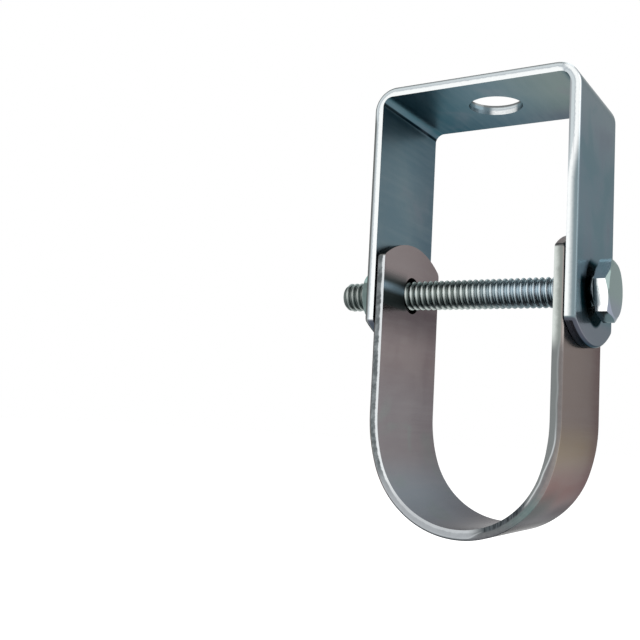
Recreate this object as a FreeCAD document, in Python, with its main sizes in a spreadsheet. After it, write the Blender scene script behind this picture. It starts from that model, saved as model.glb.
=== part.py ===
import FreeCAD, Part
import math
import os
import re
import Sketcher

# Clevis pipe hanger, in millimetres. A square yoke of bent strip hangs from a threaded rod. A round-bottomed
# strap hangs between its legs on one cross bolt and carries the pipe. +Z is up, X runs along the bolt from
# its nut to its head, and the origin is the centre of the rod hole on the underside of the yoke's top, where
# the nut of the rod bears.

# Driving dimensions: name, size, meaning
SIZES = [
    ("strip_width", 26.5, "width of the strip that both bent pieces are cut from"),
    ("end_arc_radius", 24.0, "radius that the strip ends are sheared to"),
    ("end_corner_radius", 1.3, "rounding of the corners of the sheared ends"),
    ("edge_round", 0.7, "rounding of the outer rims that the shears leave on both strips"),
    ("strap_thickness", 2.0, "thickness of the strap strip"),
    ("saddle_radius", 16.7, "inside radius of the saddle under the pipe"),
    ("saddle_depth", 46.4, "bolt axis down to the inside of the saddle"),
    ("shoulder_radius", 30.0, "inside radius of the easy bends that lead into the saddle"),
    ("leg_spread", 0.7, "how far the strap legs stand outside the saddle radius on each side"),
    ("strap_tongue", 10.7, "bolt axis up to the highest point of the strap legs"),
    ("side_clearance", 0.1, "gap between strap leg and yoke leg on each side"),
    ("yoke_thickness", 2.0, "thickness of the yoke strip"),
    ("yoke_bend_radius", 2.0, "inside radius of the two yoke bends"),
    ("yoke_crown_radius", 4.8, "outside radius of the yoke bends, where the strip is a little thinner"),
    ("yoke_tail", 10.9, "bolt axis down to the lowest point of the yoke legs"),
    ("bolt_drop", 39.8, "underside of the yoke top down to the bolt axis"),
    ("rod_hole_dia", 11.1, "hole for the threaded rod"),
    ("bolt_dia", 6.2, "outside diameter of the bolt thread"),
    ("bolt_play", 0.8, "radial play of the bolt in the holes of both strips"),
    ("bolt_overhang", 6.3, "length of bolt that stands out of the nut"),
    ("bolt_point", 0.8, "length and depth of the chamfer at the bolt end"),
    ("head_flats", 10.9, "bolt head across flats"),
    ("head_face_dia", 10.3, "washer face of the bolt head, and the flat that its chamfer leaves"),
    ("head_height", 3.1, "bolt head height with its washer face"),
    ("washer_face", 0.3, "thickness of the washer face under the bolt head"),
    ("head_gap", 0.8, "play between the bolt head and the yoke leg"),
    ("nut_flats", 10.9, "nut across flats"),
    ("nut_face_dia", 10.3, "flat that the chamfers leave on both faces of the nut"),
    ("nut_height", 5.25, "nut height"),
    ("nut_gap", 0.05, "play between the nut and the yoke leg"),
    ("thread_clearance", 0.06, "radial play between the nut bore and the bolt"),
]

# The blanks are made longer and wider than the strips by this much, and are then trimmed to their outlines
TRIM = 4.0

# How far the head and the nut are turned from standing with a flat at the front, in degrees
HEAD_TURN = 16
NUT_TURN = 9

SHEET = "Sizes"
NAMES = {name for name, size, meaning in SIZES}

# Half widths of the strip, and of the clear space inside the strap and inside the yoke
HALF_STRIP = "(strip_width / 2)"
STRAP_HALF = "(saddle_radius + leg_spread)"
YOKE_HALF = "(saddle_radius + leg_spread + strap_thickness + side_clearance)"

# Heights that the strips reach
YOKE_FOOT = "(bolt_drop + yoke_tail)"
STRAP_TIP = "(strap_tongue - bolt_drop)"
STRAP_BOTTOM = "(bolt_drop + saddle_depth + strap_thickness)"
SADDLE_CENTRE = "(saddle_radius - saddle_depth - bolt_drop)"
BOLT_HOLE_DIA = "(bolt_dia + 2 * bolt_play)"

# Places along the bolt, as distances from the middle: outside of the yoke, and where head and nut face it
YOKE_SIDE = f"({YOKE_HALF} + yoke_thickness)"
HEAD_SEAT = f"({YOKE_SIDE} + head_gap)"
NUT_END = f"({YOKE_SIDE} + nut_gap + nut_height)"
BOLT_END = f"({NUT_END} + bolt_overhang)"

doc = FreeCAD.newDocument("clevis_pipe_hanger")


def in_cells(text):
    """The expression with the name of each driving dimension turned into a reference to its cell."""
    return re.sub(r"[a-z_]+", lambda word: f"{SHEET}.{word[0]}" if word[0] in NAMES else word[0], text)


def number(text):
    """What an expression of the driving dimensions comes to."""
    return float(doc.getObject(SHEET).evalExpression(in_cells(text)))


def make_sheet():
    sheet = doc.addObject("Spreadsheet::Sheet", SHEET)
    for row, (name, size, meaning) in enumerate(SIZES, start=1):
        sheet.set(f"A{row}", meaning)
        sheet.set(f"B{row}", str(size))
        sheet.setAlias(f"B{row}", name)
    doc.recompute()


class Outline:
    """A sketch on one of its body's origin planes, drawn at its true size and held there by constraints."""

    def __init__(self, body, name, role):
        self.sketch = body.newObject("Sketcher::SketchObject", name)
        plane = next(item for item in body.Origin.OriginFeatures if item.Role == role)
        self.sketch.AttachmentSupport = [(plane, "")]
        self.sketch.MapMode = "FlatFace"

    def line(self, start, end):
        piece = Part.LineSegment(FreeCAD.Vector(*start, 0), FreeCAD.Vector(*end, 0))
        return self.sketch.addGeometry(piece, False)

    def circle(self, centre, radius):
        piece = Part.Circle(FreeCAD.Vector(*centre, 0), FreeCAD.Vector(0, 0, 1), radius)
        return self.sketch.addGeometry(piece, False)

    def arc(self, centre, radius, start_deg, end_deg):
        whole = Part.Circle(FreeCAD.Vector(*centre, 0), FreeCAD.Vector(0, 0, 1), radius)
        piece = Part.ArcOfCircle(whole, math.radians(start_deg), math.radians(end_deg))
        return self.sketch.addGeometry(piece, False)

    def hold(self, kind, *where):
        self.sketch.addConstraint(Sketcher.Constraint(kind, *where))

    def fix(self, name, kind, *where, to):
        """A dimension bound to an expression of the sheet's cells."""
        index = self.sketch.addConstraint(Sketcher.Constraint(kind, *where, number(to)))
        self.sketch.renameConstraint(index, name)
        self.sketch.setExpression(f"Constraints.{name}", in_cells(to))


# Ends and centre of a sketch piece, and the sketch's own origin and upright axis, as constraints name them
START, END, CENTRE = 1, 2, 3
ORIGIN = (-1, START)
UPRIGHT = -2


def pad_across(body, outline, width):
    """A blank of the outline, as wide as the expression says and as far to the front as to the back."""
    pad = body.newObject("PartDesign::Pad", outline.sketch.Name + "_blank")
    pad.Profile = outline.sketch
    pad.Midplane = True
    pad.setExpression("Length", in_cells(width))
    doc.recompute()


def cut_through(body, outline):
    """Cuts the outline through everything, both ways from its plane."""
    pocket = body.newObject("PartDesign::Pocket", outline.sketch.Name + "_cut")
    pocket.Profile = outline.sketch
    pocket.Type = "ThroughAll"
    pocket.Midplane = True
    before = body.Shape.Volume
    doc.recompute()
    if body.Shape.Volume >= before:
        raise RuntimeError(f"{pocket.Name} removed nothing")


def yoke_section(body):
    """The square inverted U that the yoke strip is bent to, seen along its width."""
    outline = Outline(body, "yoke_section", "XZ_Plane")
    thick = number("yoke_thickness")
    half = number(YOKE_HALF)
    foot = number(f"-{YOKE_FOOT} - {TRIM}")
    chains = []
    for radius, offset in ((number("yoke_bend_radius"), 0.0), (number("yoke_crown_radius"), thick)):
        bend_x = half + offset - radius
        bend_z = offset - radius
        left = outline.line((-half - offset, foot), (-half - offset, bend_z))
        left_bend = outline.arc((-bend_x, bend_z), radius, 90, 180)
        top = outline.line((-bend_x, offset), (bend_x, offset))
        right_bend = outline.arc((bend_x, bend_z), radius, 0, 90)
        right = outline.line((half + offset, bend_z), (half + offset, foot))
        outline.hold("Vertical", left)
        outline.hold("Vertical", right)
        outline.hold("Tangent", left, END, left_bend, END)
        outline.hold("Tangent", left_bend, START, top, START)
        outline.hold("Tangent", top, END, right_bend, END)
        outline.hold("Tangent", right_bend, START, right, START)
        outline.hold("Symmetric", top, START, top, END, UPRIGHT)
        outline.hold("Equal", left_bend, right_bend)
        chains.append((left, left_bend, top, right_bend, right))
    inner, outer = chains
    left_foot = outline.line((-half - thick, foot), (-half, foot))
    right_foot = outline.line((half, foot), (half + thick, foot))
    outline.hold("Coincident", left_foot, START, outer[0], START)
    outline.hold("Coincident", left_foot, END, inner[0], START)
    outline.hold("Coincident", right_foot, START, inner[4], END)
    outline.hold("Coincident", right_foot, END, outer[4], END)
    outline.hold("Horizontal", left_foot)
    outline.hold("Horizontal", right_foot)
    outline.hold("PointOnObject", *ORIGIN, inner[2])
    outline.fix("bend", "Radius", inner[1], to="yoke_bend_radius")
    outline.fix("crown", "Radius", outer[1], to="yoke_crown_radius")
    outline.fix("thickness", "Distance", right_foot, to="yoke_thickness")
    outline.fix("top_height", "DistanceY", *ORIGIN, outer[2], START, to="yoke_thickness")
    outline.fix("half_width", "DistanceX", *ORIGIN, inner[4], END, to=YOKE_HALF)
    outline.fix("left_foot_height", "DistanceY", *ORIGIN, left_foot, END, to=f"-{YOKE_FOOT} - {TRIM}")
    outline.fix("right_foot_height", "DistanceY", *ORIGIN, right_foot, START, to=f"-{YOKE_FOOT} - {TRIM}")
    return outline


def strap_section(body):
    """The round-bottomed U of the strap: straight legs, an easy bend on each side, and the saddle."""
    outline = Outline(body, "strap_section", "XZ_Plane")
    half = number(STRAP_HALF)
    thick = number("strap_thickness")
    saddle = number("saddle_radius")
    shoulder = number("shoulder_radius")
    saddle_z = number(SADDLE_CENTRE)
    tip = number(f"{STRAP_TIP} + {TRIM}")
    shoulder_x = half - shoulder
    shoulder_z = saddle_z + math.sqrt((shoulder - saddle) ** 2 - shoulder_x**2)
    lean = math.degrees(math.atan2(shoulder_z - saddle_z, -shoulder_x))
    chains = []
    for offset in (0.0, thick):
        left = outline.line((-half - offset, tip), (-half - offset, shoulder_z))
        left_bend = outline.arc((-shoulder_x, shoulder_z), shoulder + offset, 180, 180 + lean)
        bottom = outline.arc((0, saddle_z), saddle + offset, 180 + lean, 360 - lean)
        right_bend = outline.arc((shoulder_x, shoulder_z), shoulder + offset, 360 - lean, 360)
        right = outline.line((half + offset, shoulder_z), (half + offset, tip))
        outline.hold("Vertical", left)
        outline.hold("Tangent", left, END, left_bend, START)
        outline.hold("Tangent", left_bend, END, bottom, START)
        outline.hold("Tangent", bottom, END, right_bend, START)
        outline.hold("Tangent", right_bend, END, right, START)
        outline.hold("Symmetric", left, START, right, END, UPRIGHT)
        chains.append((left, left_bend, bottom, right_bend, right))
    inner, outer = chains
    outline.hold("Vertical", inner[4])
    left_tip = outline.line((-half - thick, tip), (-half, tip))
    right_tip = outline.line((half, tip), (half + thick, tip))
    outline.hold("Coincident", left_tip, START, outer[0], START)
    outline.hold("Coincident", left_tip, END, inner[0], START)
    outline.hold("Coincident", right_tip, START, inner[4], END)
    outline.hold("Coincident", right_tip, END, outer[4], END)
    outline.hold("Horizontal", right_tip)
    outline.hold("PointOnObject", inner[2], CENTRE, UPRIGHT)
    for bend in (1, 2, 3):
        outline.hold("Coincident", inner[bend], CENTRE, outer[bend], CENTRE)
    outline.hold("Equal", inner[1], inner[3])
    outline.fix("saddle", "Radius", inner[2], to="saddle_radius")
    outline.fix("shoulder", "Radius", inner[1], to="shoulder_radius")
    outline.fix("thickness", "Distance", right_tip, to="strap_thickness")
    outline.fix("half_width", "DistanceX", *ORIGIN, inner[4], END, to=STRAP_HALF)
    outline.fix("saddle_height", "DistanceY", *ORIGIN, inner[2], CENTRE, to=SADDLE_CENTRE)
    outline.fix("tip_height", "DistanceY", *ORIGIN, inner[4], END, to=f"{STRAP_TIP} + {TRIM}")
    return outline


def box_round(outline, low, high):
    """A rectangle round an outline on the YZ plane, well outside the blank on every side."""
    reach = number(HALF_STRIP) + 2 * TRIM
    corners = [(-reach, number(low)), (reach, number(low)), (reach, number(high)), (-reach, number(high))]
    sides = [outline.line(start, end) for start, end in zip(corners, corners[1:] + corners[:1])]
    for side, following in zip(sides, sides[1:] + sides[:1]):
        outline.hold("Coincident", side, END, following, START)
    for level, upright in ((sides[0], sides[1]), (sides[2], sides[3])):
        outline.hold("Horizontal", level)
        outline.hold("Vertical", upright)
    outline.fix("frame_left", "DistanceX", *ORIGIN, sides[0], START, to=f"-{HALF_STRIP} - {2 * TRIM}")
    outline.fix("frame_right", "DistanceX", *ORIGIN, sides[0], END, to=f"{HALF_STRIP} + {2 * TRIM}")
    outline.fix("frame_low", "DistanceY", *ORIGIN, sides[0], END, to=low)
    outline.fix("frame_high", "DistanceY", *ORIGIN, sides[2], END, to=high)


def blank_outline(body, name, upward, tip, far):
    """The strip's outline seen along the bolt, with a frame round it. What lies between them is cut away.

    One end is sheared to an arc with rounded corners, the upper one where upward is true. tip is the height
    of that arc's middle and far the height of the plain end, both as expressions.
    """
    outline = Outline(body, name, "YZ_Plane")
    half = number(HALF_STRIP)
    radius = number("end_arc_radius")
    corner = number("end_corner_radius")
    side = 1 if upward else -1
    centre_height = f"{tip} - end_arc_radius" if upward else f"{tip} + end_arc_radius"
    far_z = number(far)
    centre_z = number(centre_height)
    corner_y = half - corner
    corner_z = centre_z + side * math.sqrt((radius - corner) ** 2 - corner_y**2)
    spread = math.degrees(math.acos(corner_y / (radius - corner)))
    left = outline.line((-half, far_z), (-half, corner_z))
    right = outline.line((half, corner_z), (half, far_z))
    across = outline.line((half, far_z), (-half, far_z))
    if upward:
        left_corner = outline.arc((-corner_y, corner_z), corner, 180 - spread, 180)
        sheared = outline.arc((0, centre_z), radius, spread, 180 - spread)
        right_corner = outline.arc((corner_y, corner_z), corner, 0, spread)
        near, beyond = END, START
    else:
        left_corner = outline.arc((-corner_y, corner_z), corner, 180, 180 + spread)
        sheared = outline.arc((0, centre_z), radius, 180 + spread, 360 - spread)
        right_corner = outline.arc((corner_y, corner_z), corner, 360 - spread, 360)
        near, beyond = START, END
    outline.hold("Vertical", left)
    outline.hold("Vertical", right)
    outline.hold("Tangent", left, END, left_corner, near)
    outline.hold("Tangent", left_corner, beyond, sheared, near)
    outline.hold("Tangent", sheared, beyond, right_corner, near)
    outline.hold("Tangent", right_corner, beyond, right, START)
    outline.hold("Coincident", right, END, across, START)
    outline.hold("Coincident", across, END, left, START)
    outline.hold("Equal", left_corner, right_corner)
    outline.hold("PointOnObject", sheared, CENTRE, UPRIGHT)
    outline.fix("end_arc", "Radius", sheared, to="end_arc_radius")
    outline.fix("corner", "Radius", left_corner, to="end_corner_radius")
    outline.fix("arc_height", "DistanceY", *ORIGIN, sheared, CENTRE, to=centre_height)
    outline.fix("right_edge", "DistanceX", *ORIGIN, right, END, to=HALF_STRIP)
    outline.fix("left_edge", "DistanceX", *ORIGIN, left, START, to=f"-{HALF_STRIP}")
    outline.fix("left_far", "DistanceY", *ORIGIN, left, START, to=far)
    outline.fix("right_far", "DistanceY", *ORIGIN, right, END, to=far)
    if upward:
        box_round(outline, f"{far} - {TRIM}", f"{tip} + {2 * TRIM}")
    else:
        box_round(outline, f"{tip} - {2 * TRIM}", f"{far} + {TRIM}")
    return outline


def hole(body, name, role, height, diameter):
    """A round hole through everything, square to an origin plane and centred on the Z axis at a height."""
    outline = Outline(body, name, role)
    ring = outline.circle((0, number(height)), number(f"{diameter} / 2"))
    outline.hold("PointOnObject", ring, CENTRE, UPRIGHT)
    outline.fix("height", "DistanceY", *ORIGIN, ring, CENTRE, to=height)
    outline.fix("diameter", "Diameter", ring, to=diameter)
    return outline


def is_rolled(face):
    """True on the rolled faces of a strip, flat or bent: they run along the strip's width, which is Y."""
    if isinstance(face.Surface, Part.Cylinder):
        return abs(face.Surface.Axis.y) > 0.99
    return abs(face.Surface.Axis.y) < 0.01


def is_outside(face, heart):
    """True on a rolled face that looks away from the middle of the U, which lies at the height heart."""
    low_u, high_u, low_v, high_v = face.ParameterRange
    middle = ((low_u + high_u) / 2, (low_v + high_v) / 2)
    away = face.valueAt(*middle) - FreeCAD.Vector(0, 0, heart)
    return face.normalAt(*middle).dot(away) > 0


def round_rims(body, heart):
    """Rounds the outer rims, which the shears draw over. The inner rims and the holes stay crisp."""
    cut = body.Tip
    rims = []
    for index, edge in enumerate(cut.Shape.Edges, start=1):
        faces = cut.Shape.ancestorsOfType(edge, Part.Face)
        rolled = [face for face in faces if is_rolled(face)]
        if len(rolled) == 1 and is_outside(rolled[0], heart) and not edge.isClosed():
            rims.append(f"Edge{index}")
    fillet = body.newObject("PartDesign::Fillet", body.Name + "_rims")
    fillet.Base = (cut, rims)
    fillet.setExpression("Radius", in_cells("edge_round"))
    doc.recompute()


def make_yoke():
    body = doc.addObject("PartDesign::Body", "upper_yoke")
    pad_across(body, yoke_section(body), f"strip_width + {2 * TRIM}")
    above = f"yoke_thickness + {TRIM}"
    cut_through(body, blank_outline(body, "yoke_blank", False, f"-{YOKE_FOOT}", above))
    cut_through(body, hole(body, "yoke_rod_hole", "XY_Plane", "0", "rod_hole_dia"))
    cut_through(body, hole(body, "yoke_bolt_hole", "YZ_Plane", "-bolt_drop", BOLT_HOLE_DIA))
    round_rims(body, number("-bolt_drop"))
    return body


def make_strap():
    body = doc.addObject("PartDesign::Body", "lower_strap")
    pad_across(body, strap_section(body), f"strip_width + {2 * TRIM}")
    below = f"-{STRAP_BOTTOM} - {TRIM}"
    cut_through(body, blank_outline(body, "strap_blank", True, STRAP_TIP, below))
    cut_through(body, hole(body, "strap_bolt_hole", "YZ_Plane", "-bolt_drop", BOLT_HOLE_DIA))
    round_rims(body, number(SADDLE_CENTRE))
    return body


def on_bolt_axis(kind, name, start, turn=0, **sizes):
    """A Part primitive that runs along the bolt axis towards +X from the start expression.

    It is turned about that axis by the angle in degrees, front downwards.
    """
    piece = doc.addObject(kind, name)
    laid = FreeCAD.Rotation(FreeCAD.Vector(0, 1, 0), 90)
    turned = FreeCAD.Rotation(FreeCAD.Vector(0, 0, 1), turn)
    piece.Placement = FreeCAD.Placement(FreeCAD.Vector(), laid * turned)
    piece.setExpression("Placement.Base.x", in_cells(start))
    piece.setExpression("Placement.Base.z", in_cells("-bolt_drop"))
    for key, expression in sizes.items():
        piece.setExpression(key, in_cells(expression))
    return piece


def hexagon(name, start, turn, flats, face_dia, length, chamfered_ends):
    """A hexagonal block, with its corners turned off at the ends named.

    The chamfers stand at 30 degrees and leave a round flat of the face diameter.
    """
    corner = f"{flats} / sqrt(3)"
    block = on_bolt_axis("Part::Prism", name + "_block", start, turn, Circumradius=corner, Height=length)
    small = f"{face_dia} / 2"
    large = f"{face_dia} / 2 + ({length}) * sqrt(3)"
    shapes = [block]
    for end in chamfered_ends:
        left, right = (large, small) if end == "right" else (small, large)
        cone = on_bolt_axis("Part::Cone", f"{name}_{end}_chamfer", start, Height=length)
        cone.setExpression("Radius1", in_cells(left))
        cone.setExpression("Radius2", in_cells(right))
        shapes.append(cone)
    turned = doc.addObject("Part::MultiCommon", name)
    turned.Shapes = shapes
    return turned


def make_bolt():
    """A hex head bolt: its chamfered point, its shank at the thread's outside diameter, and its head.

    The head stands on a round washer face.
    """
    radius = "bolt_dia / 2"
    point_radius = "bolt_dia / 2 - bolt_point"
    shank_start = f"bolt_point - {BOLT_END}"
    shank_length = f"{HEAD_SEAT} + {BOLT_END} - bolt_point"
    hex_start = f"{HEAD_SEAT} + washer_face"
    hex_height = "head_height - washer_face"
    point = on_bolt_axis("Part::Cone", "point", f"-{BOLT_END}", Radius1=point_radius, Radius2=radius)
    point.setExpression("Height", in_cells("bolt_point"))
    shank = on_bolt_axis("Part::Cylinder", "shank", shank_start, Radius=radius, Height=shank_length)
    face = on_bolt_axis("Part::Cylinder", "face", HEAD_SEAT, Radius="head_face_dia / 2", Height="washer_face")
    head = hexagon("head", hex_start, HEAD_TURN, "head_flats", "head_face_dia", hex_height, ["right"])
    bolt = doc.addObject("Part::MultiFuse", "cross_bolt")
    bolt.Shapes = [point, shank, face, head]
    bolt.Refine = True
    return bolt


def make_nut():
    """A hex nut chamfered on both faces, with a plain bore round the thread."""
    start = f"-{NUT_END}"
    both = ["left", "right"]
    block = hexagon("nut_block", start, NUT_TURN, "nut_flats", "nut_face_dia", "nut_height", both)
    bore_radius = "bolt_dia / 2 + thread_clearance"
    bore = on_bolt_axis("Part::Cylinder", "nut_bore", start, Radius=bore_radius, Height="nut_height")
    nut = doc.addObject("Part::Cut", "cross_bolt_nut")
    nut.Base = block
    nut.Tool = bore
    return nut


def check(pieces):
    """Stops on any object that failed to compute and on any piece that is not one valid solid."""
    for item in doc.Objects:
        if "Invalid" in item.State or "Error" in item.State:
            raise RuntimeError(f"{item.Name} did not compute: {item.State}")
        if item.TypeId == "Sketcher::SketchObject" and not item.FullyConstrained:
            raise RuntimeError(f"{item.Name} is not fully constrained")
    for piece in pieces:
        if piece.Shape.isNull() or not piece.Shape.isValid() or len(piece.Shape.Solids) != 1:
            raise RuntimeError(f"{piece.Label} is not one valid solid")


make_sheet()
pieces = [make_yoke(), make_strap(), make_bolt(), make_nut()]
doc.recompute()
check(pieces)
os.makedirs("parts", exist_ok=True)
for piece in pieces:
    piece.Shape.exportStep(f"parts/{piece.Label}.step")
    print(piece.Label, round(piece.Shape.Volume, 1), "mm3")
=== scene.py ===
import math
from types import SimpleNamespace

import bmesh
import bpy
from mathutils import Matrix, Vector


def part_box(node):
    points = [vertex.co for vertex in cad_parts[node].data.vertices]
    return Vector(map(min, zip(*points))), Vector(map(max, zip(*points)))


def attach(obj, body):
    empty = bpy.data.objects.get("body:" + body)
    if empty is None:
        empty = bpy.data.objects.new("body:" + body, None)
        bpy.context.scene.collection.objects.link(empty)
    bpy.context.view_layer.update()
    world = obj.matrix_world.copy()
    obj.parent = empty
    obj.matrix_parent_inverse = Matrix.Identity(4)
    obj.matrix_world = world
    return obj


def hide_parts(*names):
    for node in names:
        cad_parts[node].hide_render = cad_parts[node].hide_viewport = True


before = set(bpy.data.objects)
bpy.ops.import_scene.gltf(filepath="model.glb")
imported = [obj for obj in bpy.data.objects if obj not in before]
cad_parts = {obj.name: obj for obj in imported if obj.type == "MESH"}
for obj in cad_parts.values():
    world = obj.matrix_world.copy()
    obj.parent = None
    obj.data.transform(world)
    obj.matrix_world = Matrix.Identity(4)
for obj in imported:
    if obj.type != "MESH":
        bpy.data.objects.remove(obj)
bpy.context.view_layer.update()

# Sizes in metres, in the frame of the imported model: +Z up, X along the bolt, rod hole at the origin
YOKE_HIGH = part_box("upper_yoke")[1]
STRAP_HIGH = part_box("lower_strap")[1]
BOLT_LOW, BOLT_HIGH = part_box("cross_bolt")
NUT_LOW, NUT_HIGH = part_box("cross_bolt_nut")

AXIS_Z = -0.0398
STRIP = 0.0020
YOKE_BEND = 0.0048
SADDLE = 0.0167
SHOULDER = 0.0300
SADDLE_Z = -0.0695

BOLT_RADIUS = 0.0031
PITCH = 0.00127
THREAD_DEPTH = 0.00055
THREAD_FULLNESS = 0.7
BOLT_POINT = 0.0008
POINT_SLOPE = 0.9
HEAD_HEIGHT = 0.0031
WASHER_FACE = 0.0003
HEX_FLATS = 0.0109
HEX_FACE = 0.0103
HEX_CORNER_ROUND = 0.00012
HEX_CHAMFER = math.radians(30)
HEAD_CORNER = math.radians(30 + 16)
NUT_CORNER = math.radians(30 + 9)
THREAD_CLEARANCE = 0.00006
NUT_THREAD_FLAT = 0.0002
COUNTERSINK = 0.0004

# Small steps that keep the edges of head and nut crisp, and the ring inside the rim of a flat face
HEX_EDGE = 0.00008
CHAMFER_EDGE = 0.00004
RIM_EDGE = 0.0001
FACE_RING = 0.0003

# Points round the bolt, and rows of points along one pitch of its thread
ROUND = 48
ROWS = 8

# Points nearer than this are one, and edges bent by more than these angles stay sharp
SAME_POINT = 1e-6
SHARP_ON_HEAD = math.radians(20)
SHARP_ON_NUT = math.radians(24)

# Camera: where it stands, how it is turned, and its lens
CAMERA_AT = (0.067946, -0.175094, -0.067470)
CAMERA_TURN = 31.7092
CAMERA_RISE = -6.3088
CAMERA_ROLL = 3.2087
CAMERA_LENS = 51.355
CAMERA_SENSOR = 36.0
CAMERA_NEAR = 0.005
CAMERA_FAR = 20.0

# Floor, far enough below the hanger that it hangs free
FLOOR_Z = -0.150
FLOOR_HALF = 4.0
FLOOR_COLOUR = (0.82, 0.82, 0.82, 1.0)
FLOOR_ROUGHNESS = 0.9
FLOOR_GLOW = 0.5

# Light: the world's level for rays that don't show it, and the lamps' names, places, widths and watts
WHITE = (1.0, 1.0, 1.0, 1.0)
WORLD_LEVEL = 0.75
LAMPS = (
    ("key", (-0.15, 0.30, 0.55), 0.6, 2.4),
    ("fill", (0.55, 0.10, 0.25), 0.5, 0.8),
)

# Height of the bump in the materials
BUMP = 0.00002


def thread_radius(x, turn):
    """Radius of the bolt thread at a place along the bolt and an angle round it: a right-hand helix."""
    phase = (x / PITCH - turn / (2 * math.pi)) % 1.0
    rise = (0.5 - 0.5 * math.cos(2 * math.pi * phase)) ** THREAD_FULLNESS
    return BOLT_RADIUS - THREAD_DEPTH * (1 - rise)


def hex_radius(turn, start):
    """Distance from the axis to the side of a hexagon, with its corners a little rounded."""
    off = (turn - start) % (math.pi / 3) - math.pi / 6
    return min(HEX_FLATS / 2 / math.cos(off), HEX_FLATS / math.sqrt(3) - HEX_CORNER_ROUND)


def turns(start):
    """Angles round the axis, from +Y towards +Z, with the first one again at the end."""
    return [start + 2 * math.pi * k / ROUND for k in range(ROUND + 1)]


def thread_rows(low, high, angles, radius):
    """Rows of (x, r) along a helix between two planes. Past the planes the rows fold onto them."""
    rows = []
    first = math.floor(low / PITCH) - 2
    last = math.ceil(high / PITCH) + 2
    for step in range(first * ROWS, last * ROWS + 1):
        row = []
        for turn in angles:
            x = PITCH * (step / ROWS + turn / (2 * math.pi))
            x = min(high, max(low, x))
            row.append((x, radius(x, turn)))
        rows.append(row)
    return rows


def swept(name, rows, angles, sharp_at, sharp_angle):
    """A mesh of the rows of (x, r) round the bolt axis. Bent edges stay sharp where sharp_at(x) is true."""
    mesh = bpy.data.meshes.new(name)
    form = bmesh.new()
    grid = []
    for row in rows:
        line = []
        for turn, (x, r) in zip(angles, row):
            line.append(form.verts.new((x, r * math.cos(turn), AXIS_Z + r * math.sin(turn))))
        grid.append(line)
    for low, high in zip(grid, grid[1:]):
        for k in range(ROUND):
            form.faces.new((low[k], low[k + 1], high[k + 1], high[k]))
    bmesh.ops.remove_doubles(form, verts=form.verts, dist=SAME_POINT)
    open_edges = [edge for edge in form.edges if edge.is_boundary]
    if open_edges:
        bmesh.ops.holes_fill(form, edges=open_edges, sides=0)
    bmesh.ops.recalc_face_normals(form, faces=form.faces)
    for face in form.faces:
        face.smooth = True
    for edge in form.edges:
        may_be_sharp = all(sharp_at(v.co.x) for v in edge.verts)
        if may_be_sharp and edge.is_manifold and edge.calc_face_angle(0.0) > sharp_angle:
            edge.smooth = False
    form.to_mesh(mesh)
    form.free()
    piece = bpy.data.objects.new(name, mesh)
    bpy.context.scene.collection.objects.link(piece)
    return piece


def plain_row(x, r, angles):
    """A circle."""
    return [(x, r) for turn in angles]


def hex_row(x, inset, start, angles):
    """A hexagon, smaller than the head's by the inset."""
    return [(x, hex_radius(turn, start) - inset) for turn in angles]


def chamfer_row(x_face, side, start, angles, drop=0.0):
    """Where the chamfer that starts at the round face meets the hexagon's sides, or a drop past it."""
    row = []
    for turn in angles:
        r = hex_radius(turn, start)
        depth = max(0.0, r - HEX_FACE / 2) * math.tan(HEX_CHAMFER) + drop
        row.append((x_face - side * depth, r))
    return row


def make_bolt():
    """The bolt with its whole rolled thread, its point and its hex head on a washer face."""
    angles = turns(HEAD_CORNER)
    tip, end = BOLT_LOW.x, BOLT_HIGH.x
    seat = end - HEAD_HEIGHT
    hex_start = seat + WASHER_FACE

    def shank(x, turn):
        point = BOLT_RADIUS - BOLT_POINT + (x - tip) * POINT_SLOPE
        return min(thread_radius(x, turn), point)

    rows = [plain_row(tip, 0.0, angles), plain_row(tip, BOLT_RADIUS - BOLT_POINT - FACE_RING, angles)]
    rows += thread_rows(tip + RIM_EDGE, seat, angles, shank)
    rows += [
        plain_row(seat, HEX_FACE / 2 - RIM_EDGE, angles),
        plain_row(seat + RIM_EDGE, HEX_FACE / 2, angles),
        plain_row(hex_start, HEX_FACE / 2, angles),
        hex_row(hex_start, HEX_EDGE, HEAD_CORNER, angles),
        hex_row(hex_start + HEX_EDGE, 0.0, HEAD_CORNER, angles),
        chamfer_row(end, 1, HEAD_CORNER, angles, CHAMFER_EDGE),
        chamfer_row(end, 1, HEAD_CORNER, angles),
        plain_row(end, HEX_FACE / 2, angles),
        plain_row(end, HEX_FACE / 2 - FACE_RING, angles),
        plain_row(end, 0.0, angles),
    ]
    piece = swept("bolt_with_thread", rows, angles, lambda x: x > seat - SAME_POINT, SHARP_ON_HEAD)
    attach(piece, "bolt")
    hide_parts("cross_bolt")
    return piece


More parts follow.
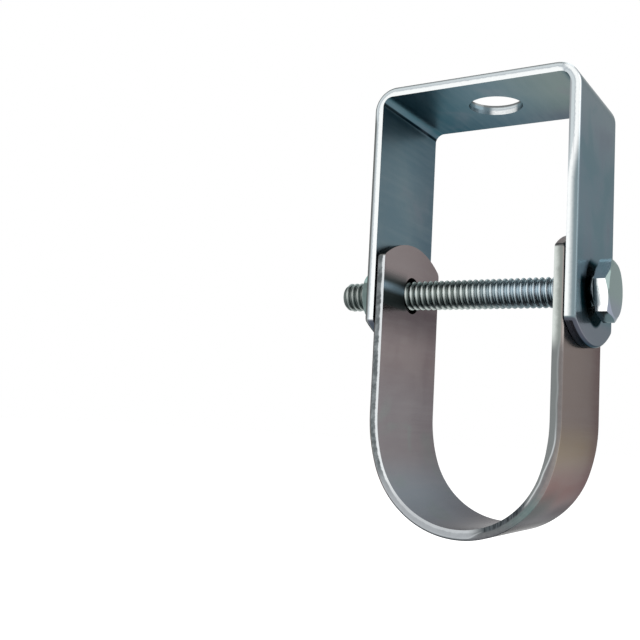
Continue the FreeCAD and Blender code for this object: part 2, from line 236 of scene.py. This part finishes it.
def make_nut():
    """The nut: chamfered on both faces, countersunk, and threaded to match the bolt."""
    angles = turns(NUT_CORNER)
    low, high = NUT_LOW.x, NUT_HIGH.x
    least = BOLT_RADIUS - THREAD_DEPTH + NUT_THREAD_FLAT

    def bore(x, turn):
        inner = max(thread_radius(x, turn) + THREAD_CLEARANCE, least)
        mouth = BOLT_RADIUS + COUNTERSINK - min(x - low, high - x)
        return max(inner, mouth)

    rows = thread_rows(low, high, angles, bore)
    rows += [
        plain_row(high, HEX_FACE / 2 - FACE_RING, angles),
        plain_row(high, HEX_FACE / 2, angles),
        chamfer_row(high, 1, NUT_CORNER, angles),
        chamfer_row(high, 1, NUT_CORNER, angles, CHAMFER_EDGE),
        chamfer_row(low, -1, NUT_CORNER, angles, CHAMFER_EDGE),
        chamfer_row(low, -1, NUT_CORNER, angles),
        plain_row(low, HEX_FACE / 2, angles),
        plain_row(low, HEX_FACE / 2 - FACE_RING, angles),
        rows[0],
    ]
    piece = swept("nut_with_thread", rows, angles, lambda x: True, SHARP_ON_NUT)
    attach(piece, "nut")
    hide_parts("cross_bolt_nut")
    return piece


class Field:
    """A number that varies over a surface: one socket of a material's nodes, with Python's own signs."""

    def __init__(self, paint, socket):
        self.paint = paint
        self.socket = socket

    def _with(self, kind, *others):
        return self.paint.math(kind, self, *others)

    def __add__(self, other):
        return self._with("ADD", other)

    def __sub__(self, other):
        return self._with("SUBTRACT", other)

    def __rsub__(self, other):
        return self.paint.math("SUBTRACT", other, self)

    def __mul__(self, other):
        return self._with("MULTIPLY", other)

    __radd__ = __add__

    def least(self, other):
        return self._with("MINIMUM", other)

    def most(self, other):
        return self._with("MAXIMUM", other)

    def size(self):
        return self._with("ABSOLUTE")

    def power(self, other):
        return self._with("POWER", other)


class Paint:
    """A material's node tree and its one shader, with short ways to make the nodes that feed it."""

    def __init__(self, name):
        self.material = bpy.data.materials.new(name)
        self.material.use_nodes = True
        self.tree = self.material.node_tree
        self.shader = self.tree.nodes["Principled BSDF"]
        where = self.tree.nodes.new("ShaderNodeTexCoord")
        self.place = where.outputs["Object"]
        self.x, self.y, self.z = self.parts(self.place)
        self.facing_x, self.facing_y, self.facing_z = self.parts(where.outputs["Normal"])
        self.colour = None

    def put(self, socket, value):
        """Links a field or another socket to a socket, or sets a plain value on it."""
        if isinstance(value, Field):
            value = value.socket
        if isinstance(value, bpy.types.NodeSocket):
            self.tree.links.new(value, socket)
        else:
            socket.default_value = value

    def math(self, kind, *values):
        """One Math node of the kind given."""
        node = self.tree.nodes.new("ShaderNodeMath")
        node.operation = kind
        for socket, value in zip(node.inputs, values):
            self.put(socket, value)
        return Field(self, node.outputs[0])

    def parts(self, vector):
        """The three parts of a vector, each as a field."""
        node = self.tree.nodes.new("ShaderNodeSeparateXYZ")
        self.put(node.inputs[0], vector)
        return [Field(self, output) for output in node.outputs]

    def length(self, a, b):
        """Length of a flat vector with these two parts."""
        return (a * a + b * b).power(0.5)

    def step(self, value, low, high):
        """0 below low, 1 above high, and a smooth rise between them; falls where high is under low."""
        node = self.tree.nodes.new("ShaderNodeMapRange")
        node.interpolation_type = "SMOOTHSTEP"
        falls = high < low
        self.put(node.inputs["Value"], value)
        self.put(node.inputs["From Min"], high if falls else low)
        self.put(node.inputs["From Max"], low if falls else high)
        self.put(node.inputs["To Min"], 1.0 if falls else 0.0)
        self.put(node.inputs["To Max"], 0.0 if falls else 1.0)
        return Field(self, node.outputs["Result"])

    def bump_at(self, value, centre, half):
        """1 at the centre, falling smoothly to 0 at half a width on both sides."""
        return self.step((value - centre).size(), half, 0.0)

    def noise(self, size, detail, rough, stretch=(1, 1, 1), warp=0.0):
        """Noise from 0 to 1, in lumps about size metres across that stretch draws out along the axes."""
        sized = self.tree.nodes.new("ShaderNodeMapping")
        self.put(sized.inputs["Vector"], self.place)
        sized.inputs["Scale"].default_value = [1 / s for s in stretch]
        node = self.tree.nodes.new("ShaderNodeTexNoise")
        self.put(node.inputs["Vector"], sized.outputs[0])
        node.inputs["Scale"].default_value = 1 / size
        node.inputs["Detail"].default_value = detail
        node.inputs["Roughness"].default_value = rough
        node.inputs["Distortion"].default_value = warp
        return Field(self, node.outputs["Fac"])

    def mix(self, share, first, second):
        """A colour between two others."""
        node = self.tree.nodes.new("ShaderNodeMix")
        node.data_type = "RGBA"
        self.put(node.inputs["Factor"], share)
        colour_inputs = [s for s in node.inputs if s.type == "RGBA"]
        self.put(colour_inputs[0], first)
        self.put(colour_inputs[1], second)
        return [s for s in node.outputs if s.type == "RGBA"][0]

    def lay(self, share, colour):
        """Lays a colour over what is there, as thickly as the share says."""
        self.colour = self.mix(share, self.colour, colour)

    def bump(self, height, strength):
        """Roughens the surface by a height from 0 to about 1, in units of BUMP."""
        node = self.tree.nodes.new("ShaderNodeBump")
        node.inputs["Strength"].default_value = strength
        node.inputs["Distance"].default_value = BUMP
        self.put(node.inputs["Height"], height)
        self.put(self.shader.inputs["Normal"], node.outputs["Normal"])

    def finish(self, rough, edge):
        """Metal of the colour laid, with a roughness and the tint it takes at a glancing angle."""
        self.put(self.shader.inputs["Base Color"], self.colour)
        self.put(self.shader.inputs["Roughness"], rough)
        self.shader.inputs["Metallic"].default_value = 1.0
        self.put(self.shader.inputs["Specular Tint"], edge)
        return self.material


def tone(red, green, blue):
    """A colour as a screen shows it, 0 to 255, turned into the linear numbers that nodes take."""
    made = []
    for part in (red, green, blue):
        share = part / 255
        made.append(share / 12.92 if share <= 0.04045 else ((share + 0.055) / 1.055) ** 2.4)
    return (*made, 1.0)


def yoke_depth(paint):
    """How far a point of the yoke lies under its outer rolled face."""
    across = (paint.x.size() - (YOKE_HIGH.x - YOKE_BEND)).most(0.0)
    up = (paint.z - (YOKE_HIGH.z - YOKE_BEND)).most(0.0)
    return YOKE_BEND - paint.length(across, up)


def strap_depth(paint):
    """How far a point of the strap lies under its outer rolled face."""
    leg_x = STRAP_HIGH.x - STRIP
    shoulder_x = leg_x - SHOULDER
    shoulder_z = SADDLE_Z + math.sqrt((SHOULDER - SADDLE) ** 2 - shoulder_x**2)
    lean = (shoulder_z - SADDLE_Z) / -shoulder_x
    side = paint.x.size()
    low = (paint.z - shoulder_z).least(0.0)
    shoulder = SHOULDER + STRIP - paint.length(side - shoulder_x, low)
    saddle = SADDLE + STRIP - paint.length(side, paint.z - SADDLE_Z)
    in_saddle = paint.math("LESS_THAN", paint.z - SADDLE_Z, side * -lean)
    return shoulder * (1.0 - in_saddle) + saddle * in_saddle


def yoke_places(paint):
    """Where a point lies on the yoke: its depth under the outer face, and shares from 0 to 1."""
    depth = yoke_depth(paint)
    right = paint.step(paint.x, 0.0170, 0.0195)
    cut = paint.step(paint.facing_y.size(), 0.80, 0.93) * (1.0 - right)
    rolled = paint.step(paint.facing_y.size(), 0.15, 1.0) * paint.step(paint.facing_z, -0.25, -0.05)
    return SimpleNamespace(
        depth=depth,
        right=right,
        inside=paint.step(depth, 0.0010, 0.0013),
        outer_side=right * paint.step(paint.facing_x, 0.3, 0.9),
        bright=right * paint.step(paint.z, -0.010, -0.022),
        cut=cut + rolled * right,
    )


def lay_yoke_outside(paint, on, clouds):
    """The right leg's outer face: paler under the bend and at the end, with purple and teal clouds."""
    paint.lay(on.outer_side, tone(144, 156, 165))
    paint.lay(on.outer_side * paint.step(paint.z, -0.018, -0.001) * 0.7, tone(174, 176, 180))
    paint.lay(on.outer_side * paint.step(paint.z, -0.028, -0.036) * 0.5, tone(116, 134, 142))
    paint.lay(on.outer_side * paint.step(clouds, 0.48, 0.66) * 0.25, tone(156, 150, 164))
    paint.lay(on.outer_side * paint.step(clouds, 0.48, 0.34) * 0.25, tone(120, 148, 154))
    paint.lay(on.outer_side * paint.step(paint.z, -0.044, -0.047) * 0.8, tone(156, 152, 160))


def lay_yoke_inside(paint, on):
    """The top and the left leg's inside: paler and purple to the right of the top, painted shade in teal
    towards its left, the back and the corner, a painted shade band along the bend between them, and a dark
    painted shade line in its crease.
    """
    top = paint.step(paint.z, -0.0040, -0.0005) * (1.0 - on.right)
    paint.lay(top * paint.step(paint.x, 0.000, 0.016) * 0.6, tone(138, 144, 136))
    far_right = paint.step(paint.x, 0.000, 0.016) * paint.step(paint.y, 0.004, 0.012)
    paint.lay(top * far_right * 0.5, tone(116, 110, 126))
    # Painted shade: the top darker towards the left leg
    paint.lay(top * paint.step(paint.x, 0.004, -0.014) * 0.7, tone(70, 94, 104))
    # Painted shade: the inside darker towards the back
    far = on.inside * paint.step(paint.y, -0.004, 0.013) * (1.0 - on.right)
    paint.lay(far * 0.3, tone(62, 66, 82))
    # Painted shade: teal darkening in the corner between the top and the left leg
    corner = paint.length(paint.x + 0.0195, paint.z)
    paint.lay(on.inside * paint.step(corner, 0.016, 0.002) * 0.2, tone(44, 78, 88))
    # Painted shade along the bend, and a dark painted shade line in its crease
    fold = on.inside * paint.step(paint.x, 0.0, -0.01) * paint.step(paint.z, -0.004, -0.002)
    paint.lay(fold * paint.bump_at(paint.facing_x, 0.42, 0.42) * 0.7, tone(56, 84, 92))
    crease = paint.step(paint.facing_x, 0.86, 0.90) * paint.step(paint.facing_x, 0.990, 0.970)
    paint.lay(fold * crease * 0.95, tone(10, 22, 28))


def lay_head_shade(paint, on):
    """Round the bolt's head on the yoke: a painted dark reflection and shade of the head, low down at the
    front, and a black painted shadow of the gap near the hole.
    """
    from_bolt = paint.length(paint.y, paint.z - AXIS_Z)
    # Painted reflection and shade of the head, darkest low down at the front
    head_reflection_shade = on.outer_side * paint.step(from_bolt, 0.0108, 0.0098) * paint.step(paint.z, -0.0376, -0.0388)
    head_reflection_shade = head_reflection_shade * paint.step(paint.y, 0.0, -0.0040)
    paint.lay(head_reflection_shade * paint.step(paint.z, -0.0475, -0.0430) * 0.85, tone(20, 36, 40))
    # Painted shadow of the gap under the head, nearly black
    gap_shadow = on.outer_side * paint.step(from_bolt, 0.0074, 0.0066)
    paint.lay(gap_shadow * paint.step(paint.z, -0.0336, -0.0352), tone(2, 5, 8))


def yoke_edge(paint, on, flecks):
    """Colour of the sheared edge: bright steel, with a painted highlight as a white band on the side
    towards the light, a silver band and grey lines of painted shade, rolled over on the right leg.
    """
    # lit grows towards the side of the edge that faces the light; the white band there is a painted
    # highlight
    lit = on.depth * (1.0 - on.right) + (STRIP - on.depth) * on.right
    ripple = (flecks - 0.5) * 0.0004
    inner = paint.step(lit + ripple + on.bright * 0.0011, 0.0009, 0.0013)
    edge = paint.mix(inner, tone(206, 215, 218), tone(250, 253, 253))
    line = paint.bump_at(lit + ripple, 0.00095, 0.00018) * (1.0 - on.bright)
    edge = paint.mix(line * 0.55, edge, tone(168, 174, 182))
    outer = paint.step(lit, 0.00045, 0.00015) * (1.0 - on.bright)
    edge = paint.mix(outer * 0.9, edge, tone(150, 154, 158))
    edge = paint.mix(paint.step(flecks, 0.55, 0.8) * 0.2, edge, tone(176, 186, 196))
    rolling = 0.00165 - on.bright * 0.0012
    rolled_off = paint.step(lit - rolling + ripple * 0.5, 0.0, 0.0011).power(0.7)
    return paint.mix(on.right * rolled_off, edge, tone(126, 142, 148))


def yoke_steel():
    """Zinc plated strip: slate faces, cloudy and faintly brushed, and bright sheared edges with painted
    highlight bands, and painted shade in the bend, on the ends and round the bolt's head.
    """
    paint = Paint("yoke_steel_paint")
    on = yoke_places(paint)
    clouds = paint.noise(0.011, 3.0, 0.5, warp=0.4)
    grain = paint.noise(0.0011, 4.0, 0.6, stretch=(1, 14, 1))
    flecks = paint.noise(0.0006, 3.0, 0.6)

    paint.colour = paint.mix(paint.step(clouds, 0.35, 0.68), tone(106, 124, 133), tone(114, 130, 137))
    lay_yoke_outside(paint, on, clouds)
    lay_yoke_inside(paint, on)
    paint.lay(paint.step(grain, 0.35, 0.75) * 0.12, tone(150, 160, 164))
    paint.lay(paint.step(clouds, 0.55, 0.75) * 0.25, tone(132, 128, 138))
    # Painted shade and reflection of the bolt's head on the right leg
    lay_head_shade(paint, on)
    paint.lay(on.bright * paint.step(paint.facing_y.size(), 0.05, 0.45) * 0.9, tone(100, 114, 120))
    paint.lay(on.cut, yoke_edge(paint, on, flecks))
    # Painted shade on the downward-facing sheared ends of the legs
    shaded_sheared_end = paint.step(paint.facing_z, -0.15, -0.50) * paint.step(paint.z, -0.042, -0.046)
    paint.lay(shaded_sheared_end * 0.85, tone(66, 66, 76))
    # Painted shade: greyer outer rims on the sheared edges away from the right leg, also darker in the
    # glancing tint
    on_leg = paint.step(paint.z, -0.0030, -0.0060) * 0.00032
    rim = paint.step(on.depth - on_leg, 0.00060, 0.00028) * (1.0 - on.right)
    paint.lay(rim, tone(116, 120, 120))
    paint.bump(grain * 0.6 + clouds * 0.6 + flecks * on.cut * 2.0, 0.3)
    rough = 0.13 + clouds * 0.08 + grain * 0.05 + on.cut * 0.15 + on.inside * 0.16
    return paint.finish(rough, paint.mix(rim, tone(150, 160, 162), tone(40, 42, 44)))


def strap_places(paint):
    """Where a point lies on the strap: its depth under the outer face, and shares from 0 to 1.

    The shears drew the rim over to the depth drawn, which is more on the right half, below the yoke.
    """
    depth = strap_depth(paint)
    patches = paint.noise(0.009, 1.5, 0.4, warp=0.8)
    outside = paint.step(depth, 0.0008, 0.0004)
    low = paint.step(paint.z, -0.0490, -0.0530)
    past = paint.step(paint.x, 0.0018, 0.0056) * low
    drawn = past * (paint.step(paint.z, -0.0690, -0.0750) * 0.0006 + 0.0004)
    drawn = paint.noise(0.006, 2.0, 0.5) * 0.0006 + drawn - 0.0003
    side = paint.step(paint.facing_y.size(), 0.85, 0.97)
    return SimpleNamespace(
        depth=depth,
        drawn=drawn,
        patches=patches,
        right=paint.step(paint.x, 0.002, 0.006),
        outside=outside,
        low=low,
        past=past,
        cut=side * paint.step(depth - drawn, 0.0, 0.0004),
        tinted=outside * (patches * 0.8 + 0.5).least(1.0),
        shaded=outside * paint.step(paint.z, -0.0795, -0.0830) * paint.step(paint.y, -0.004, 0.008),
    )


def lay_strap_base(paint, on):
    """Both faces: bluer towards the bottom, with faint green patches, and shaded where the yoke ends."""
    paint.lay(paint.step(paint.z, -0.052, -0.064) * 0.5, tone(138, 138, 142))
    paint.lay(paint.step(paint.z, -0.072, -0.082) * 0.8, tone(144, 156, 164))
    green = paint.step(on.patches, 0.50, 0.66) * paint.step(paint.z, -0.060, -0.066)
    paint.lay(green * 0.25, tone(132, 150, 144))
    paint.lay(paint.bump_at(paint.z, -0.0435, 0.0080) * 0.65, tone(76, 72, 76))


def lay_mirrored_bolt(paint, on):
    """The bolt's painted reflection in the left leg's inside: a dark band with a painted highlight line.
    Returns its share.
    """
    left_inside = (1.0 - on.outside) * paint.step(paint.x, -0.010, -0.014)
    left_inside = left_inside * paint.step(paint.y, -0.0020, -0.0034)
    height = paint.z - AXIS_Z
    mirrored = left_inside * paint.step(height, 0.0048, 0.0014) * paint.step(height, -0.0040, -0.0031)
    # Painted reflection of the bolt, with a painted highlight line
    paint.lay(mirrored * 0.85, tone(60, 74, 74))
    paint.lay(mirrored * paint.bump_at(height, 0.0004, 0.0014) * 0.9, tone(170, 196, 212))
    return mirrored


def lay_strap_outside(paint, on):
    """The outer face's tints, from warm grey down to blue grey, with painted shade at the back and on the
    sheared ends.
    """
    paint.lay(on.outside * paint.step(paint.z, -0.084, -0.078), tone(156, 148, 144))
    # Painted shade on the upward-facing sheared ends inside the yoke
    shaded_sheared_end = paint.step(paint.facing_z, 0.15, 0.50) * paint.step(paint.z, -0.0375, -0.0350)
    paint.lay(shaded_sheared_end * 0.8, tone(92, 98, 96))
    paint.lay(on.tinted * paint.bump_at(paint.z, -0.0700, 0.0060) * 0.7, tone(160, 150, 130))
    paint.lay(on.tinted * paint.bump_at(paint.z, -0.0788, 0.0068) * 0.85, tone(146, 120, 118))
    bottom = paint.step(paint.z + paint.y * 0.15, -0.0808, -0.0838)
    paint.lay(on.tinted * bottom * 0.85, tone(100, 106, 110))
    paint.lay(on.tinted * paint.step(paint.y, 0.004, 0.013) * 0.5, tone(120, 100, 102))
    paint.lay(on.shaded * 0.6, tone(84, 80, 84))
    # Painted shade: darker towards the back
    paint.lay(paint.step(paint.y, -0.006, 0.013) * 0.22, tone(90, 82, 88))


def lay_drawn_rim(paint, on):
    """The rim that is drawn over on the right, grey, then teal near the bottom."""
    skirt = on.past * paint.step(paint.facing_y.size(), 0.08, 0.45)
    paint.lay(skirt * 0.8, tone(106, 102, 102))
    paint.lay(skirt * paint.step(paint.z, -0.0800, -0.0840) * 0.6, tone(84, 88, 90))
    paint.lay(on.tinted * paint.step(paint.z, -0.0825, -0.0865) * 0.5, tone(84, 84, 90))
    teal = paint.bump_at(paint.z, -0.0815, 0.0048) * paint.step(paint.y, 0.002, -0.0075)
    teal = teal * paint.step(on.depth, 0.0014, 0.0010) * (1.0 - on.cut) * on.right
    paint.lay(teal * 0.75, tone(90, 110, 109))


def strap_edge(paint, on, torn):
    """Colour of the torn sheared edge: pale and dark areas, grooves right of the bottom, a painted
    highlight band on the right above the bottom, and bright lines that are painted highlights.
    """
    edge = paint.mix(paint.step(torn, 0.35, 0.70), tone(92, 98, 100), tone(140, 146, 148))
    edge = paint.mix(paint.step(paint.z, -0.074, -0.081) * 0.8, edge, tone(166, 170, 174))
    edge = paint.mix(on.right, edge, tone(122, 126, 126))
    # Painted highlight: paler towards the inner side on the right leg above the bottom
    inner = paint.step(on.depth + (torn - 0.5) * 0.0008, 0.0007, 0.0019)
    high = paint.mix(inner, tone(140, 146, 142), tone(214, 220, 216))
    edge = paint.mix(on.right * (1.0 - on.low), edge, high)
    grooved = paint.step(paint.x, 0.0030, 0.0060) * paint.step(paint.x, 0.0145, 0.0125)
    grooved = grooved * paint.step(paint.z, -0.073, -0.076)
    grooves = paint.noise(0.0007, 2.0, 0.5, stretch=(0.5, 1, 4))
    dark = paint.mix(paint.step(grooves, 0.35, 0.60), tone(34, 40, 44), tone(78, 84, 88))
    edge = paint.mix(grooved * 0.95, edge, dark)
    # Painted highlight lines along the edge and beside the drawn-over rim
    line = paint.step(on.depth + (torn - 0.5) * 0.0006, 0.00135, 0.0016) * (1.0 - on.right)
    line = line * (1.0 - paint.step(paint.z, -0.076, -0.084) * 0.7)
    shine = paint.step(paint.z, -0.0640, -0.0700) * 0.45 + 0.15
    near_rim = paint.bump_at(on.depth - on.drawn, 0.00040, 0.00024)
    line = line + near_rim * on.past * (1.0 - grooved) * shine
    return paint.mix(line * 0.9, edge, tone(232, 236, 238))


def strap_glance(paint, on, rim):
    """The tint at a glancing angle, as painted shade: darker on the rim and towards the bottom and the
    back.
    """
    glance = paint.mix(rim, tone(158, 154, 154), tone(50, 52, 54))
    glance = paint.mix(on.outside * paint.step(paint.z, -0.0802, -0.0868) * 0.8, glance, tone(84, 86, 92))
    glance = paint.mix(on.outside * paint.step(paint.z, -0.0838, -0.0858), glance, tone(20, 22, 26))
    return paint.mix(on.shaded * 0.25, glance, tone(48, 46, 50))


def strap_steel():
    """Zinc plated strip with the warm and rainbow tints of its chromate, and torn, patchy edges, with
    painted highlight lines, a painted reflection of the bolt and painted shade.
    """
    paint = Paint("strap_steel_paint")
    on = strap_places(paint)
    clouds = paint.noise(0.010, 3.0, 0.5, warp=0.5)
    grain = paint.noise(0.0010, 4.0, 0.6, stretch=(1, 14, 1))
    torn = paint.noise(0.0014, 4.0, 0.65)

    paint.colour = paint.mix(paint.step(clouds, 0.32, 0.68), tone(134, 125, 126), tone(142, 134, 134))
    lay_strap_base(paint, on)
    mirrored = lay_mirrored_bolt(paint, on)
    lay_strap_outside(paint, on)
    lay_drawn_rim(paint, on)
    paint.lay(paint.step(grain, 0.35, 0.75) * 0.10, tone(160, 160, 160))
    paint.lay(on.cut, strap_edge(paint, on, torn))
    # Painted shade: a darker outer rim on the sheared edges away from the right half, also in the glancing
    # tint
    rim = paint.step(on.depth, 0.00050, 0.00025) * (1.0 - on.right)
    paint.lay(rim * 0.8, tone(84, 88, 90))
    paint.bump(grain * 0.6 + clouds * 0.6 + torn * on.cut * 5.0, 0.35)
    rough = 0.14 + clouds * 0.08 + grain * 0.05 + on.cut * 0.16 + mirrored * 0.2
    return paint.finish(rough, strap_glance(paint, on, rim))


def shank_colour(paint, clouds):
    """The thread: a painted sheen across the middle of its height, light painted tips at the bottom, roots
    painted darker as shade, lighter and bluer towards the head, and duller towards the nut and the point.
    """
    r = paint.length(paint.y, paint.z - AXIS_Z)
    height = (paint.z - AXIS_Z) * (1 / BOLT_RADIUS)
    far = paint.step(paint.x, -0.008, 0.008)
    # Painted sheen: a bright band across the middle of the bolt's height
    sheen = paint.bump_at(height, 0.10, 0.62)
    crest = paint.mix(far, tone(104, 114, 112), tone(112, 126, 132))
    crest = paint.mix(sheen, crest, paint.mix(far, tone(226, 234, 230), tone(226, 242, 250)))
    # Painted highlight on the crests' tips at the bottom
    crest = paint.mix(paint.step(height, -0.72, -0.90) * (1.0 - far), crest, tone(170, 178, 174))
    # Painted shade in the roots of the thread
    root = paint.mix(far, tone(44, 54, 54), tone(84, 98, 104))
    root = paint.mix(sheen, root, paint.mix(far, tone(122, 132, 128), tone(194, 212, 222)))
    shank = paint.mix(paint.step(r, BOLT_RADIUS - 0.00010, BOLT_RADIUS - 0.00046), crest, root)
    shank = paint.mix(paint.step(clouds, 0.4, 0.7) * 0.15, shank, tone(120, 128, 128))
    point = paint.step(paint.x, NUT_LOW.x + 0.001, NUT_LOW.x - 0.001)
    return paint.mix(point * 0.45, shank, tone(92, 98, 96))


def head_colour(paint):
    """The head: its sides, painted white as a highlight at the front, with painted shade near the yoke and
    underneath, and its grey end face, bluer below the axis.
    """
    # Painted highlight on the sides that face the front
    front = paint.step(paint.facing_y, -0.85, -0.92)
    sides = paint.mix(front, tone(222, 234, 240), tone(252, 254, 253))
    shaded = paint.step(paint.x, BOLT_HIGH.x - 0.00205, BOLT_HIGH.x - 0.00235) * front
    sides = paint.mix(shaded * 0.8, sides, tone(84, 98, 107))
    # Painted shade on the sides that face down
    sides = paint.mix(paint.step(paint.facing_z, -0.6, -0.9), sides, tone(74, 90, 96))
    lower = paint.step(paint.z, AXIS_Z - 0.0005, AXIS_Z - 0.0040)
    end_face = paint.mix(lower, tone(126, 142, 140), tone(128, 134, 147))
    return paint.mix(paint.step(paint.facing_x, 0.3, 0.5), sides, end_face)


def bolt_steel():
    """Bright zinc on the bolt, with painted shade in the roots of its thread."""
    paint = Paint("bolt_steel_paint")
    clouds = paint.noise(0.003, 3.0, 0.5)
    seat = BOLT_HIGH.x - HEAD_HEIGHT
    head = paint.step(paint.x, seat - RIM_EDGE, seat + RIM_EDGE)
    paint.colour = paint.mix(head, shank_colour(paint, clouds), head_colour(paint))
    paint.bump(paint.noise(0.0005, 3.0, 0.6), 0.25)
    return paint.finish(0.30 - head * 0.20 + clouds * 0.06, tone(200, 206, 206))


def nut_steel():
    """The nut's zinc: greenish and a little duller than the bolt's, with painted shade in its bore."""
    paint = Paint("nut_steel_paint")
    clouds = paint.noise(0.003, 3.0, 0.5)
    r = paint.length(paint.y, paint.z - AXIS_Z)
    # Painted shade inside the bore
    bore = paint.step(r, BOLT_RADIUS + 0.0003, BOLT_RADIUS)
    paint.colour = paint.mix(paint.step(clouds, 0.3, 0.7), tone(98, 114, 112), tone(118, 132, 129))
    paint.lay(bore * 0.8, tone(50, 56, 58))
    paint.bump(paint.noise(0.0006, 3.0, 0.6), 0.3)
    return paint.finish(0.18 + clouds * 0.1, tone(140, 150, 150))


def wear(piece, material):
    """Gives a piece its one material."""
    piece.data.materials.clear()
    piece.data.materials.append(material)


def shown_ray(tree):
    """1 for the camera's rays and those that metal or glass sends on, and 0 for all others."""
    path = tree.nodes.new("ShaderNodeLightPath")
    share = path.outputs["Is Camera Ray"]
    for kind in ("Is Glossy Ray", "Is Transmission Ray"):
        either = tree.nodes.new("ShaderNodeMath")
        either.operation = "MAXIMUM"
        tree.links.new(share, either.inputs[0])
        tree.links.new(path.outputs[kind], either.inputs[1])
        share = either.outputs[0]
    return share


def make_world():
    """Even white surroundings for the camera, metal and glass, and a softer level for everything else."""
    world = bpy.data.worlds.new("studio")
    bpy.context.scene.world = world
    world.use_nodes = True
    tree = world.node_tree
    background = tree.nodes["Background"]
    background.inputs["Color"].default_value = WHITE
    level = tree.nodes.new("ShaderNodeMapRange")
    tree.links.new(shown_ray(tree), level.inputs["Value"])
    level.inputs["To Min"].default_value = WORLD_LEVEL
    level.inputs["To Max"].default_value = 1.0
    tree.links.new(level.outputs["Result"], background.inputs["Strength"])


def floor_paint():
    """Pale grey that looks white where it is shown, and see-through from below."""
    material = bpy.data.materials.new("floor_paint")
    material.use_nodes = True
    tree = material.node_tree
    shader = tree.nodes["Principled BSDF"]
    shader.inputs["Base Color"].default_value = FLOOR_COLOUR
    shader.inputs["Roughness"].default_value = FLOOR_ROUGHNESS
    shader.inputs["Specular IOR Level"].default_value = 0.0
    shader.inputs["Emission Color"].default_value = WHITE
    glow = tree.nodes.new("ShaderNodeMath")
    glow.operation = "MULTIPLY"
    tree.links.new(shown_ray(tree), glow.inputs[0])
    glow.inputs[1].default_value = FLOOR_GLOW
    tree.links.new(glow.outputs[0], shader.inputs["Emission Strength"])
    clear = tree.nodes.new("ShaderNodeBsdfTransparent")
    sides = tree.nodes.new("ShaderNodeNewGeometry")
    choice = tree.nodes.new("ShaderNodeMixShader")
    tree.links.new(sides.outputs["Backfacing"], choice.inputs[0])
    tree.links.new(shader.outputs[0], choice.inputs[1])
    tree.links.new(clear.outputs[0], choice.inputs[2])
    tree.links.new(choice.outputs[0], tree.nodes["Material Output"].inputs["Surface"])
    return material


def make_floor():
    """A pale floor under the hanger. It keeps the shadow, and from below it is seen through."""
    mesh = bpy.data.meshes.new("floor")
    form = bmesh.new()
    corners = [(-1, -1), (1, -1), (1, 1), (-1, 1)]
    form.faces.new([form.verts.new((x * FLOOR_HALF, y * FLOOR_HALF, FLOOR_Z)) for x, y in corners])
    form.to_mesh(mesh)
    form.free()
    floor = bpy.data.objects.new("floor", mesh)
    bpy.context.scene.collection.objects.link(floor)
    wear(floor, floor_paint())


def softbox(name, at, width, watts):
    """A soft square lamp, aimed at the middle of the hanger and unseen by the camera."""
    light = bpy.data.lights.new(name, "AREA")
    light.shape = "RECTANGLE"
    light.size = width
    light.size_y = width
    light.energy = watts
    lamp = bpy.data.objects.new(name, light)
    bpy.context.scene.collection.objects.link(lamp)
    lamp.location = at
    aim = Vector((0.0, 0.0, AXIS_Z)) - Vector(at)
    lamp.rotation_euler = aim.to_track_quat("-Z", "Y").to_euler()
    lamp.visible_camera = False


def make_lights():
    """The lamps, soft and weak, for a little shape beside the world's even light."""
    for name, at, width, watts in LAMPS:
        softbox(name, at, width, watts)


def make_camera():
    """The camera at the photograph's viewing angle."""
    camera = bpy.data.cameras.new("camera")
    camera.sensor_fit = "HORIZONTAL"
    camera.sensor_width = CAMERA_SENSOR
    camera.lens = CAMERA_LENS
    camera.clip_start = CAMERA_NEAR
    camera.clip_end = CAMERA_FAR
    holder = bpy.data.objects.new("camera", camera)
    bpy.context.scene.collection.objects.link(holder)
    turn = Matrix.Rotation(math.radians(CAMERA_TURN), 4, "Z")
    rise = Matrix.Rotation(math.radians(90 - CAMERA_RISE), 4, "X")
    roll = Matrix.Rotation(math.radians(CAMERA_ROLL), 4, "Z")
    holder.matrix_world = Matrix.Translation(CAMERA_AT) @ turn @ rise @ roll
    bpy.context.scene.camera = holder


make_camera()
wear(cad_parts["upper_yoke"], yoke_steel())
wear(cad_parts["lower_strap"], strap_steel())
wear(make_bolt(), bolt_steel())
wear(make_nut(), nut_steel())
make_world()
make_floor()
make_lights()
bpy.context.scene.view_settings.view_transform = "Standard"
